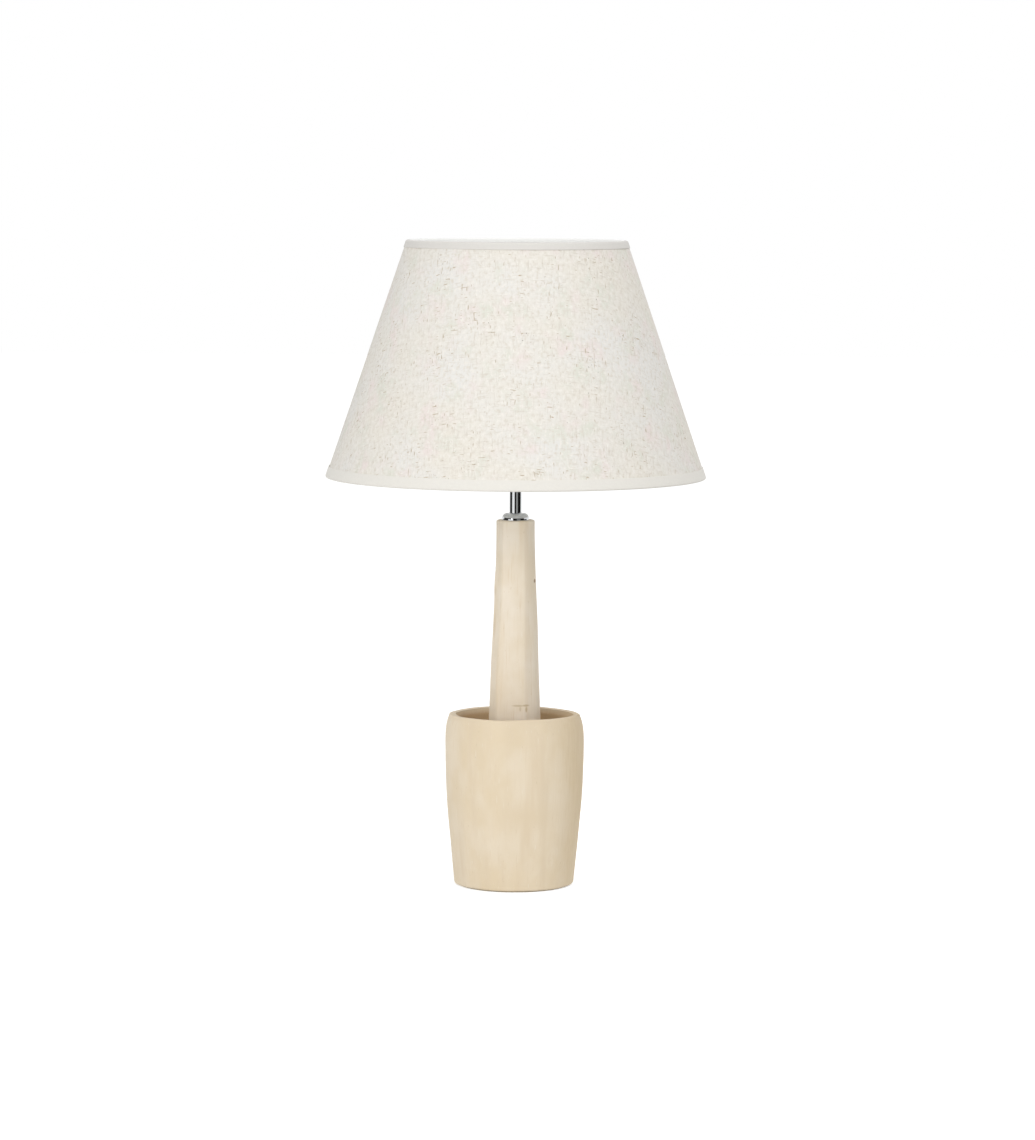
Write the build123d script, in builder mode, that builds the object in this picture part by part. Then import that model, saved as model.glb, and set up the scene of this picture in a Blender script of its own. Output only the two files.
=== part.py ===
from build123d import *
import os
from math import atan, cos

os.makedirs("parts", exist_ok=True)

# Column table lamp: a turned wooden cup for a foot, a wooden column standing in it, a chromed
# neck and a tapered linen shade. Millimetres, +Z up, origin at the centre of the underside.
# -Y is the front, and the cord's inlet is at the back.

# ------------------------------------------------------------------ clearances
loose_gap = 0.3  # between pieces that move against each other
seat_gap = 0.2  # between curved pieces that are glued, pushed or screwed together
laminate_gap = 0.05  # between layers that are glued flat

# ------------------------------------------------------------------ foot
felt_thickness = 1.0
felt_inset = 3.0  # the felt stops this far inside the foot's edge
foot_radius = 48.3
foot_rounding = 1.6
foot_wall_lean = 0.09  # sideways per unit of height, outward at the foot
belly_radius = 55.6
belly_below_rim = 32.0
rim_radius = 52.6
rim_wall = 3.2
rim_wall_lean = 0.35  # and inward at the rim
cup_depth = 82.5
cup_floor_inset = 2.4  # the cup's floor is this much narrower than the foot, all round
cup_floor_fillet = 6.0
floor_thickness = 25.0  # wood between the ballast and the cup's floor

# ------------------------------------------------------------------ ballast and cord room
ballast_radius = 36.0
ballast_thickness = 18.0
cord_room_height = 13.0
cord_room_ledge = 5.0  # the cord's room is this much wider than the ballast's pocket
cord_hole_radius = 3.2
bushing_wall = 1.3
bushing_flange_width = 1.1
bushing_flange_thickness = 2.2
bushing_spot_depth = 1.3  # the flange sits this deep in a flat spot
bushing_rounding = 0.4

# ------------------------------------------------------------------ stem and its nuts
tube_radius = 5.0
tube_bore_radius = 3.8
tube_chamfer = 0.5
tube_tail = 1.5  # tube showing below its bottom nut
nut_across_flats = 14.0
nut_height = 4.0
base_washer_radius = 15.0
base_washer_thickness = 1.5
lock_washer_radius = 9.0
lock_washer_thickness = 1.0
lock_washer_teeth = 12
lock_washer_tooth_depth = 1.2
lock_washer_tooth_gap = 1.2

# ------------------------------------------------------------------ column
column_length = 240.5
column_seat_depth = 3.0
column_foot_radius = 23.5
column_rim_radius = 20.2  # where it leaves the cup
column_middle_radius = 17.2
column_middle_above_rim = 88.0
column_top_radius = 15.0
column_top_rounding = 1.4

# ------------------------------------------------------------------ neck
neck_length = 31.0  # from the column's top to the lampholder
neck_cap_radius = 11.0
neck_cap_height = 5.6
neck_cap_edge = 1.2
neck_cap_land = 1.3  # flat ring round the tube

# ------------------------------------------------------------------ lampholder
collar_radius = 8.6
collar_height = 8.0
tube_in_holder = 10.0
holder_cap_radius = 19.5
holder_cap_height = 26.0
holder_cap_dome_end = 20.0
holder_cap_dome_rise = 0.25  # the dome's slope where it leaves the collar
holder_wall = 2.0
holder_seat_height = 17.0  # the contact block's seat above the holder's underside
grub_screw_radius = 2.0
grub_screw_height = 4.0
grub_slot_width = 0.7
grub_slot_depth = 1.0
block_flange_thickness = 3.0
block_seat_width = 2.2
block_height = 12.0
terminal_screw_radius = 1.5
terminal_screw_length = 5.0
terminal_screw_offset = 8.5
shell_wall = 0.4
shell_length = 24.0
contact_width = 4.0
contact_span = 12.0
contact_rise = 3.0
contact_sheet = 0.5
skirt_wall = 4.2  # from the bore to the root of the outside thread
skirt_length = 35.0  # above the holder cap
skirt_thread_pitch = 2.5
skirt_thread_depth = 0.9
skirt_thread_flat = 0.5  # width of the thread's crest
skirt_plain_end = 2.0
shade_ring_flange = 8.2
shade_ring_hub = 3.6
shade_ring_height = 6.0
shade_ring_flange_thickness = 2.5
shade_ring_notches = 20
shade_ring_notch_radius = 1.2
lower_ring_above_cap = 2.7

# ------------------------------------------------------------------ bulb
thread_crest_radius = 13.1
thread_depth = 0.95
thread_pitch = 3.629
thread_turns = 4
bulb_cap_wall = 0.5
bulb_cap_height = 25.5
bulb_cap_collar = 5.0
bulb_radius = 30.0
bulb_length = 106.0
bulb_glass_thickness = 0.9
bulb_neck_pull = 0.9  # how long the glass keeps the neck's direction as it flares
bulb_globe_pull = 1.5  # and how long before the globe it has turned upright
bulb_contact_radius = 4.6
bulb_contact_thickness = 1.0
bulb_contact_rounding = 0.6
insulator_height = 3.0
insulator_foot_radius = 5.6
insulator_top_radius = 10.2
stem_height = 28.0
stem_tip_radius = 2.4
stem_foot_lean = 0.6  # inward per unit of height where the stem leaves the neck
lead_radius = 0.45
lead_height = 22.0
filament_span = 24.0
filament_rise = 5.0
filament_radius = 0.6

# ------------------------------------------------------------------ shade
shade_height = 187.8
shade_bottom_radius = 151.8  # outside of the linen at its lower edge
shade_top_radius = 88.0
cover_thickness = 0.7
liner_thickness = 0.5
ring_wire_radius = 1.5
fitter_recess = 31.0  # the fitter sits this far above the shade's lower edge
fitter_width = 11.0
fitter_thickness = 1.5
arm_count = 3
arm_wire_radius = 1.6
arm_bend_radius = 10.0
arm_flat_end = 14.0
arm_back_angle = 30.0  # one arm each side of the back, one at the front
hem_thickness = 0.6
hem_leg = 4.6

# ------------------------------------------------------------------ heights that follow
foot_z = felt_thickness
ballast_z = foot_z + cord_room_height
pocket_top_z = ballast_z + ballast_thickness
cup_floor_z = pocket_top_z + floor_thickness
rim_z = cup_floor_z + cup_depth
column_z = cup_floor_z - column_seat_depth
column_top_z = column_z + column_length
holder_z = column_top_z + neck_length
tube_top_z = holder_z + tube_in_holder
base_nut_z = ballast_z - base_washer_thickness - lock_washer_thickness - nut_height
tube_z = base_nut_z - tube_tail
cap_top_z = holder_z + holder_cap_height
block_z = holder_z + holder_seat_height
block_top_z = block_z + block_height
lower_ring_z = cap_top_z + lower_ring_above_cap
fitter_z = lower_ring_z + shade_ring_height + loose_gap
upper_ring_z = fitter_z + fitter_thickness + loose_gap
bulb_z = block_top_z + contact_rise + loose_gap
insulator_z = bulb_z + bulb_contact_thickness + laminate_gap
bulb_cap_z = insulator_z + insulator_height
bulb_cap_top_z = bulb_cap_z + bulb_cap_height - insulator_height
shade_z = fitter_z - fitter_recess
shade_top_z = shade_z + shade_height

# ------------------------------------------------------------------ radii that follow
tube_hole_radius = tube_radius + seat_gap
pocket_radius = ballast_radius + seat_gap
cord_room_radius = pocket_radius + cord_room_ledge
cup_mouth_radius = rim_radius - rim_wall
cup_floor_radius = foot_radius - cup_floor_inset
bushing_radius = cord_hole_radius + bushing_wall
bushing_flange_radius = bushing_radius + bushing_flange_width
cord_hole_z = foot_z + cord_room_height / 2
shell_bore_radius = thread_crest_radius + loose_gap
shell_radius = shell_bore_radius + shell_wall
skirt_bore_radius = shell_radius + seat_gap + loose_gap
skirt_root_radius = skirt_bore_radius + skirt_wall
skirt_radius = skirt_root_radius + skirt_thread_depth
cap_bore_radius = holder_cap_radius - holder_wall
spigot_radius = cap_bore_radius - seat_gap
ring_bore_radius = skirt_radius + loose_gap
fitter_radius = ring_bore_radius + fitter_width
shade_slope = (shade_bottom_radius - shade_top_radius) / shade_height
shade_lean = cos(atan(shade_slope))


def disc(radius, bore, bottom, thickness):
    """A flat round plate with a hole through its middle."""
    with BuildPart() as plate:
        with BuildSketch(Plane.XY.offset(bottom)):
            Circle(radius)
            Circle(bore, mode=Mode.SUBTRACT)
        extrude(amount=thickness)
    return plate.part


def hex_nut(bottom):
    """A thin hexagonal nut for the stem tube, its thread left plain."""
    with BuildPart() as nut:
        with BuildSketch(Plane.XY.offset(bottom)):
            RegularPolygon(nut_across_flats / 2, 6, major_radius=False)
            Circle(tube_hole_radius, mode=Mode.SUBTRACT)
        extrude(amount=nut_height)
    return nut.part


# ------------------------------------------------------------------ foot
# The cup is turned from one block. Its wall swells to a belly below the rim, and the rim is round.
belly_z = rim_z - belly_below_rim
rim_round_z = rim_z - rim_wall / 2
with BuildPart() as pot:
    with BuildSketch(Plane.XZ):
        with BuildLine():
            Line((0, foot_z), (foot_radius - foot_rounding, foot_z))
            RadiusArc(
                (foot_radius - foot_rounding, foot_z),
                (foot_radius, foot_z + foot_rounding),
                -foot_rounding,
            )
            Spline(
                (foot_radius, foot_z + foot_rounding),
                (belly_radius, belly_z),
                (rim_radius, rim_round_z),
                tangents=[(foot_wall_lean, 1), (0, 1), (-rim_wall_lean, 1)],
            )
            ThreePointArc(
                (rim_radius, rim_round_z),
                (rim_radius - rim_wall / 2, rim_z),
                (cup_mouth_radius, rim_round_z),
            )
            Line(
                (cup_mouth_radius, rim_round_z),
                (cup_floor_radius, cup_floor_z + cup_floor_fillet),
            )
            RadiusArc(
                (cup_floor_radius, cup_floor_z + cup_floor_fillet),
                (cup_floor_radius - cup_floor_fillet, cup_floor_z),
                cup_floor_fillet,
            )
            Line((cup_floor_radius - cup_floor_fillet, cup_floor_z), (0, cup_floor_z))
            Line((0, cup_floor_z), (0, foot_z))
        make_face()
    revolve(axis=Axis.Z)
    # seat for the column in the cup's floor
    with BuildSketch(Plane.XY.offset(column_z)):
        Circle(column_foot_radius + seat_gap)
    extrude(amount=column_seat_depth, mode=Mode.SUBTRACT)
    # room for the cord and the nut, and above it the ballast's pocket
    with BuildSketch(Plane.XY.offset(foot_z)):
        Circle(cord_room_radius)
    extrude(amount=cord_room_height, mode=Mode.SUBTRACT)
    with BuildSketch(Plane.XY.offset(ballast_z)):
        Circle(pocket_radius)
    extrude(amount=ballast_thickness, mode=Mode.SUBTRACT)
    with BuildSketch(Plane.XY.offset(pocket_top_z)):
        Circle(tube_hole_radius)
    extrude(amount=floor_thickness, mode=Mode.SUBTRACT)
    # the cord's hole through the back wall, with a flat spot for the bushing's flange
    with BuildSketch(Plane((0, 0, cord_hole_z), x_dir=(1, 0, 0), z_dir=(0, 1, 0))):
        Circle(bushing_radius + seat_gap)
    extrude(amount=belly_radius, mode=Mode.SUBTRACT)
    with BuildSketch(
        Plane(
            (0, foot_radius - bushing_spot_depth, cord_hole_z),
            x_dir=(1, 0, 0),
            z_dir=(0, 1, 0),
        )
    ):
        Circle(bushing_flange_radius + seat_gap)
    extrude(amount=belly_radius, mode=Mode.SUBTRACT)
pot.part.label = "pot"
export_step(pot.part, "parts/pot.step")

with BuildPart() as felt_pad:
    with BuildSketch():
        Circle(foot_radius - felt_inset)
    extrude(amount=felt_thickness)
felt_pad.part.label = "felt_pad"
export_step(felt_pad.part, "parts/felt_pad.step")

# The bushing is a flanged tube that lines the cord's hole.
flange_y = foot_radius - bushing_spot_depth
with BuildPart() as cord_bushing:
    with BuildSketch(
        Plane((0, flange_y, cord_hole_z), x_dir=(1, 0, 0), z_dir=(0, 1, 0))
    ):
        Circle(bushing_flange_radius)
    extrude(amount=bushing_flange_thickness)
    with BuildSketch(
        Plane((0, flange_y, cord_hole_z), x_dir=(1, 0, 0), z_dir=(0, -1, 0))
    ):
        Circle(bushing_radius)
    extrude(amount=flange_y - cord_room_radius + seat_gap)
    with BuildSketch(
        Plane((0, 0, cord_hole_z), x_dir=(1, 0, 0), z_dir=(0, 1, 0))
    ):
        Circle(cord_hole_radius)
    extrude(amount=foot_radius + bushing_flange_thickness, mode=Mode.SUBTRACT)
    fillet(
        cord_bushing.edges().filter_by(GeomType.CIRCLE).sort_by(Axis.Y)[-1],
        bushing_rounding,
    )
cord_bushing.part.label = "cord_bushing"
export_step(cord_bushing.part, "parts/cord_bushing.step")

ballast_disc = disc(ballast_radius, tube_hole_radius, ballast_z, ballast_thickness)
ballast_disc.label = "ballast_disc"
export_step(ballast_disc, "parts/ballast_disc.step")

# ------------------------------------------------------------------ stem and its nuts
with BuildPart() as stem_tube:
    with BuildSketch(Plane.XY.offset(tube_z)):
        Circle(tube_radius)
        Circle(tube_bore_radius, mode=Mode.SUBTRACT)
    extrude(amount=tube_top_z - tube_z)
    outer_ends = (
        stem_tube.edges()
        .filter_by(GeomType.CIRCLE)
        .filter_by(lambda edge: edge.radius > tube_bore_radius + tube_chamfer / 2)
    )
    chamfer(outer_ends, tube_chamfer)
stem_tube.part.label = "stem_tube"
export_step(stem_tube.part, "parts/stem_tube.step")

base_washer = disc(
    base_washer_radius,
    tube_hole_radius,
    ballast_z - base_washer_thickness,
    base_washer_thickness,
)
base_washer.label = "base_washer"
export_step(base_washer, "parts/base_washer.step")

# The lock washer has a ring of teeth cut into its edge.
lock_washer_z = base_nut_z + nut_height
with BuildPart() as lock_washer:
    with BuildSketch(Plane.XY.offset(lock_washer_z)):
        Circle(lock_washer_radius)
        Circle(tube_hole_radius, mode=Mode.SUBTRACT)
        with PolarLocations(lock_washer_radius, lock_washer_teeth):
            Rectangle(2 * lock_washer_tooth_depth, lock_washer_tooth_gap, mode=Mode.SUBTRACT)
    extrude(amount=lock_washer_thickness)
lock_washer.part.label = "lock_washer"
export_step(lock_washer.part, "parts/lock_washer.step")

base_nut = hex_nut(base_nut_z)
base_nut.label = "base_nut"
export_step(base_nut, "parts/base_nut.step")

holder_nut = hex_nut(holder_z - nut_height)
holder_nut.label = "holder_nut"
export_step(holder_nut, "parts/holder_nut.step")

# ------------------------------------------------------------------ column
# A tapered post with a hole for the tube; it stands in the seat in the cup's floor.
with BuildPart() as column:
    with BuildSketch(Plane.XZ):
        with BuildLine():
            Line((tube_hole_radius, column_z), (column_foot_radius, column_z))
            Spline(
                (column_foot_radius, column_z),
                (column_rim_radius, rim_z),
                (column_middle_radius, rim_z + column_middle_above_rim),
                (column_top_radius, column_top_z - column_top_rounding),
                tangents=[
                    (column_rim_radius - column_foot_radius, rim_z - column_z),
                    (0, 1),
                ],
            )
            RadiusArc(
                (column_top_radius, column_top_z - column_top_rounding),
                (column_top_radius - column_top_rounding, column_top_z),
                -column_top_rounding,
            )
            Line(
                (column_top_radius - column_top_rounding, column_top_z),
                (tube_hole_radius, column_top_z),
            )
            Line((tube_hole_radius, column_top_z), (tube_hole_radius, column_z))
        make_face()
    revolve(axis=Axis.Z)
column.part.label = "column"
export_step(column.part, "parts/column.step")

# ------------------------------------------------------------------ neck cap
with BuildPart() as neck_cap:
    with BuildSketch(Plane.XZ):
        with BuildLine():
            dome_start = column_top_z + neck_cap_edge
            dome_radius = tube_hole_radius + neck_cap_land
            Line((tube_hole_radius, column_top_z), (neck_cap_radius, column_top_z))
            Line((neck_cap_radius, column_top_z), (neck_cap_radius, dome_start))
            EllipticalCenterArc(
                (dome_radius, dome_start),
                neck_cap_radius - dome_radius,
                neck_cap_height - neck_cap_edge,
                start_angle=0,
                arc_size=90,
            )
            Line(
                (dome_radius, column_top_z + neck_cap_height),
                (tube_hole_radius, column_top_z + neck_cap_height),
            )
            Line(
                (tube_hole_radius, column_top_z + neck_cap_height),
                (tube_hole_radius, column_top_z),
            )
        make_face()
    revolve(axis=Axis.Z)
neck_cap.part.label = "neck_cap"
export_step(neck_cap.part, "parts/neck_cap.step")

# ------------------------------------------------------------------ lampholder
# The cap screws onto the tube by its collar, which a grub screw locks, and widens to the body.
with BuildPart() as holder_cap:
    with BuildSketch(Plane.XZ):
        with BuildLine():
            Polyline(
                (tube_hole_radius, holder_z),
                (collar_radius, holder_z),
                (collar_radius, holder_z + collar_height),
            )
            Spline(
                (collar_radius, holder_z + collar_height),
                (holder_cap_radius, holder_z + holder_cap_dome_end),
                tangents=[(1, holder_cap_dome_rise), (0, 1)],
            )
            Polyline(
                (holder_cap_radius, holder_z + holder_cap_dome_end),
                (holder_cap_radius, cap_top_z),
                (cap_bore_radius, cap_top_z),
                (cap_bore_radius, block_z),
                (cap_bore_radius - block_seat_width, block_z),
                (tube_hole_radius + holder_wall, holder_z + collar_height + 2 * holder_wall),
                (tube_hole_radius, holder_z + collar_height + 2 * holder_wall),
                (tube_hole_radius, holder_z),
            )
        make_face()
    revolve(axis=Axis.Z)
    with BuildSketch(
        Plane(
            (0, 0, holder_z + grub_screw_height), x_dir=(1, 0, 0), z_dir=(0, 1, 0)
        )
    ):
        Circle(grub_screw_radius + seat_gap / 2)
    extrude(amount=holder_cap_radius, mode=Mode.SUBTRACT)
holder_cap.part.label = "holder_cap"
export_step(holder_cap.part, "parts/holder_cap.step")

# The grub screw bears on the tube and has a slot for a screwdriver.
grub_start = tube_radius + laminate_gap
with BuildPart() as holder_grub_screw:
    with BuildSketch(
        Plane(
            (0, grub_start, holder_z + grub_screw_height),
            x_dir=(1, 0, 0),
            z_dir=(0, 1, 0),
        )
    ):
        Circle(grub_screw_radius)
    extrude(amount=collar_radius - grub_start)
    with BuildSketch(
        Plane(
            (0, collar_radius, holder_z + grub_screw_height),
            x_dir=(1, 0, 0),
            z_dir=(0, -1, 0),
        )
    ):
        Rectangle(2 * grub_screw_radius, grub_slot_width)
    extrude(amount=grub_slot_depth, mode=Mode.SUBTRACT)
holder_grub_screw.part.label = "holder_grub_screw"
export_step(holder_grub_screw.part, "parts/holder_grub_screw.step")

# The contact block is clamped by its flange between the cap and the skirt.
with BuildPart() as contact_block:
    with BuildSketch(Plane.XY.offset(block_z)):
        Circle(spigot_radius)
    extrude(amount=block_flange_thickness)
    with BuildSketch(Plane.XY.offset(block_z)):
        Circle(shell_radius)
    extrude(amount=block_height)
    with BuildSketch(Plane.XY.offset(block_z)):
        with Locations((terminal_screw_offset, 0), (-terminal_screw_offset, 0)):
            Circle(terminal_screw_radius + seat_gap)
    extrude(amount=terminal_screw_length, mode=Mode.SUBTRACT)
contact_block.part.label = "contact_block"
export_step(contact_block.part, "parts/contact_block.step")

with BuildPart() as terminal_screws:
    with BuildSketch(Plane.XY.offset(block_z)):
        with Locations((terminal_screw_offset, 0), (-terminal_screw_offset, 0)):
            Circle(terminal_screw_radius)
    extrude(amount=terminal_screw_length)
terminal_screws.part.label = "terminal_screws"
export_step(terminal_screws.part, "parts/terminal_screws.step")

# A bent brass leaf that the bulb presses on.
half_span = contact_span / 2
half_flat = contact_width / 2
with BuildPart() as centre_contact:
    with BuildSketch(Plane.XZ):
        with BuildLine():
            Polyline(
                (-half_span, block_top_z),
                (-half_span, block_top_z + contact_sheet),
                (-half_flat, block_top_z + contact_rise),
                (half_flat, block_top_z + contact_rise),
                (half_span, block_top_z + contact_sheet),
                (half_span, block_top_z),
                (half_span - contact_sheet, block_top_z),
                (half_flat, block_top_z + contact_rise - contact_sheet),
                (-half_flat, block_top_z + contact_rise - contact_sheet),
                (-half_span + contact_sheet, block_top_z),
                close=True,
            )
        make_face()
    extrude(amount=contact_width / 2, both=True)
centre_contact.part.label = "centre_contact"
export_step(centre_contact.part, "parts/centre_contact.step")

screw_shell = disc(shell_radius, shell_bore_radius, block_top_z, shell_length)
screw_shell.label = "screw_shell"
export_step(screw_shell, "parts/screw_shell.step")

# The skirt is threaded outside from end to end, for the two shade rings.
skirt_top_z = cap_top_z + skirt_length
thread_room = skirt_length - 2 * skirt_plain_end
skirt_ridges = int(thread_room / skirt_thread_pitch)
with BuildPart() as holder_skirt:
    with BuildSketch(Plane.XZ):
        outline = [
            (skirt_bore_radius, block_z + block_flange_thickness),
            (spigot_radius, block_z + block_flange_thickness),
            (spigot_radius, cap_top_z),
            (skirt_root_radius, cap_top_z),
            (skirt_root_radius, cap_top_z + skirt_plain_end),
        ]
        for ridge in range(skirt_ridges):
            root_z = cap_top_z + skirt_plain_end + ridge * skirt_thread_pitch
            crest_z = root_z + (skirt_thread_pitch - skirt_thread_flat) / 2
            outline.append((skirt_radius, crest_z))
            outline.append((skirt_radius, crest_z + skirt_thread_flat))
            outline.append((skirt_root_radius, root_z + skirt_thread_pitch))
        outline.append((skirt_root_radius, skirt_top_z))
        outline.append((skirt_bore_radius, skirt_top_z))
        with BuildLine():
            Polyline(*outline, close=True)
        make_face()
    revolve(axis=Axis.Z)
holder_skirt.part.label = "holder_skirt"
export_step(holder_skirt.part, "parts/holder_skirt.step")


def shade_ring(bottom, flange_bottom):
    """A threaded clamping ring: a hub with a notched flange on the side of the fitter."""
    flange_radius = ring_bore_radius + shade_ring_flange
    with BuildPart() as ring:
        with BuildSketch(Plane.XY.offset(bottom)):
            Circle(ring_bore_radius + shade_ring_hub)
        extrude(amount=shade_ring_height)
        with BuildSketch(Plane.XY.offset(flange_bottom)):
            Circle(flange_radius)
            with PolarLocations(flange_radius, shade_ring_notches):
                Circle(shade_ring_notch_radius, mode=Mode.SUBTRACT)
        extrude(amount=shade_ring_flange_thickness)
        with BuildSketch(Plane.XY.offset(bottom)):
            Circle(ring_bore_radius)
        extrude(amount=shade_ring_height, mode=Mode.SUBTRACT)
    return ring.part


lower_shade_ring = shade_ring(
    lower_ring_z, lower_ring_z + shade_ring_height - shade_ring_flange_thickness
)
lower_shade_ring.label = "lower_shade_ring"
export_step(lower_shade_ring, "parts/lower_shade_ring.step")

upper_shade_ring = shade_ring(upper_ring_z, upper_ring_z)
upper_shade_ring.label = "upper_shade_ring"
export_step(upper_shade_ring, "parts/upper_shade_ring.step")

# ------------------------------------------------------------------ bulb
# The base contact is a flat pip under the insulator.
with BuildPart() as bulb_contact:
    with BuildSketch(Plane.XY.offset(bulb_z)):
        Circle(bulb_contact_radius)
    extrude(amount=bulb_contact_thickness)
    fillet(bulb_contact.edges().sort_by(Axis.Z)[0], bulb_contact_rounding)
bulb_contact.part.label = "bulb_contact"
export_step(bulb_contact.part, "parts/bulb_contact.step")

with BuildPart() as bulb_insulator:
    with BuildSketch(Plane.XZ):
        with BuildLine():
            Polyline(
                (0, insulator_z),
                (insulator_foot_radius, insulator_z),
                (insulator_top_radius, bulb_cap_z - laminate_gap),
                (0, bulb_cap_z - laminate_gap),
                close=True,
            )
        make_face()
    revolve(axis=Axis.Z)
bulb_insulator.part.label = "bulb_insulator"
export_step(bulb_insulator.part, "parts/bulb_insulator.step")

# The screw cap is thin metal with round ridges; above them a plain collar holds the glass.
thread_root_radius = thread_crest_radius - thread_depth
cap_inner_radius = thread_root_radius - bulb_cap_wall
collar_inner_radius = thread_crest_radius - bulb_cap_wall
thread_z = bulb_cap_top_z - bulb_cap_collar - thread_turns * thread_pitch
with BuildPart() as bulb_cap:
    with BuildSketch(Plane.XZ):
        with BuildLine():
            Polyline(
                (0, bulb_cap_z),
                (insulator_top_radius, bulb_cap_z),
                (thread_root_radius, thread_z),
            )
            for turn in range(thread_turns):
                ridge_z = thread_z + turn * thread_pitch
                ThreePointArc(
                    (thread_root_radius, ridge_z),
                    (thread_crest_radius, ridge_z + thread_pitch / 2),
                    (thread_root_radius, ridge_z + thread_pitch),
                )
            Polyline(
                (thread_root_radius, bulb_cap_top_z - bulb_cap_collar),
                (thread_crest_radius, bulb_cap_top_z - bulb_cap_collar + thread_depth),
                (thread_crest_radius, bulb_cap_top_z),
                (collar_inner_radius, bulb_cap_top_z),
                (collar_inner_radius, bulb_cap_top_z - bulb_cap_collar + thread_depth),
                (cap_inner_radius, bulb_cap_top_z - bulb_cap_collar),
                (cap_inner_radius, thread_z),
                (insulator_top_radius - bulb_cap_wall, bulb_cap_z + bulb_cap_wall),
                (0, bulb_cap_z + bulb_cap_wall),
                (0, bulb_cap_z),
            )
        make_face()
    revolve(axis=Axis.Z)
bulb_cap.part.label = "bulb_cap"
export_step(bulb_cap.part, "parts/bulb_cap.step")

# The glass is a globe that runs down to a straight neck, cemented in the cap's collar.
neck_radius = collar_inner_radius - seat_gap
neck_z = bulb_cap_top_z - bulb_cap_collar + 2 * thread_depth
globe_z = bulb_z + bulb_length - bulb_radius
neck_end_z = bulb_cap_top_z + 2 * bulb_glass_thickness


def globe_outline(inset):
    """The glass's outline, that far inside its outer face: neck, flare and globe."""
    globe = bulb_radius - inset
    neck = neck_radius - inset
    Spline(
        (neck, neck_end_z),
        (globe, globe_z),
        tangents=[(0, 1), (0, 1)],
        tangent_scalars=[bulb_neck_pull, bulb_globe_pull],
    )
    Line((neck, neck_z), (neck, neck_end_z))
    CenterArc((0, globe_z), globe, start_angle=0, arc_size=90)


with BuildPart() as bulb_glass:
    with BuildSketch(Plane.XZ):
        with BuildLine():
            globe_outline(0)
            globe_outline(bulb_glass_thickness)
            Line((neck_radius - bulb_glass_thickness, neck_z), (neck_radius, neck_z))
            Line(
                (0, globe_z + bulb_radius - bulb_glass_thickness),
                (0, globe_z + bulb_radius),
            )
        make_face()
    revolve(axis=Axis.Z)
bulb_glass.part.label = "bulb_glass"
export_step(bulb_glass.part, "parts/bulb_glass.step")

# Inside, a glass stem flares out to the neck and carries two leads with the filament between.
stem_foot_radius = neck_radius - bulb_glass_thickness - laminate_gap
stem_top_z = neck_z + stem_height
with BuildPart() as bulb_stem:
    with BuildSketch(Plane.XZ):
        with BuildLine():
            Line((0, neck_z), (stem_foot_radius, neck_z))
            Spline(
                (stem_foot_radius, neck_z),
                (stem_tip_radius, stem_top_z),
                tangents=[(-stem_foot_lean, 1), (0, 1)],
            )
            Line((stem_tip_radius, stem_top_z), (0, stem_top_z))
            Line((0, stem_top_z), (0, neck_z))
        make_face()
    revolve(axis=Axis.Z)
bulb_stem.part.label = "bulb_stem"
export_step(bulb_stem.part, "parts/bulb_stem.step")

lead_top_z = stem_top_z + lead_height
lead_foot = stem_tip_radius - lead_radius
with BuildPart() as lead_wires:
    for side in (-1, 1):
        with BuildLine():
            lead = Line(
                (side * lead_foot, 0, stem_top_z + lead_radius),
                (side * filament_span / 2, 0, lead_top_z),
            )
        with BuildSketch(Plane(lead @ 0, z_dir=lead % 0)):
            Circle(lead_radius)
        sweep(path=lead)
lead_wires.part.label = "lead_wires"
export_step(lead_wires.part, "parts/lead_wires.step")

filament_z = lead_top_z + lead_radius + filament_radius
with BuildPart() as filament:
    with BuildLine():
        arch = ThreePointArc(
            (-filament_span / 2, 0, filament_z),
            (0, 0, filament_z + filament_rise),
            (filament_span / 2, 0, filament_z),
        )
    with BuildSketch(Plane(arch @ 0, z_dir=arch % 0)):
        Circle(filament_radius)
    sweep(path=arch)
filament.part.label = "filament"
export_step(filament.part, "parts/filament.step")


# ------------------------------------------------------------------ shade
def wall_radius(height, depth):
    """The shade wall's radius at a height above its lower edge, that far in from the linen's face."""
    return shade_bottom_radius - shade_slope * height - depth


def cone_band(outer_depth, inner_depth):
    """A layer of the shade's wall between two depths, from edge to edge."""
    with BuildPart() as layer:
        with BuildSketch(Plane.XZ):
            with BuildLine():
                Polyline(
                    (wall_radius(0, outer_depth), shade_z),
                    (wall_radius(shade_height, outer_depth), shade_top_z),
                    (wall_radius(shade_height, inner_depth), shade_top_z),
                    (wall_radius(0, inner_depth), shade_z),
                    close=True,
                )
            make_face()
        revolve(axis=Axis.Z)
    return layer.part


shade_cover = cone_band(0, cover_thickness)
shade_cover.label = "shade_cover"
export_step(shade_cover, "parts/shade_cover.step")

liner_depth = cover_thickness + laminate_gap
wall_depth = liner_depth + liner_thickness
shade_liner = cone_band(liner_depth, wall_depth)
shade_liner.label = "shade_liner"
export_step(shade_liner, "parts/shade_liner.step")


def wire_ring(height):
    """A wire ring that lies against the liner at a height; returns it and its radius."""
    radius = wall_radius(height, wall_depth) - (ring_wire_radius + seat_gap) / shade_lean
    with BuildPart() as ring:
        with BuildSketch(Plane.XZ):
            with Locations((radius, shade_z + height)):
                Circle(ring_wire_radius)
        revolve(axis=Axis.Z)
    return ring.part, radius


bottom_ring, bottom_ring_radius = wire_ring(ring_wire_radius)
bottom_ring.label = "bottom_ring"
export_step(bottom_ring, "parts/bottom_ring.step")

top_ring, top_ring_radius = wire_ring(shade_height - ring_wire_radius)
top_ring.label = "top_ring"
export_step(top_ring, "parts/top_ring.step")


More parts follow.
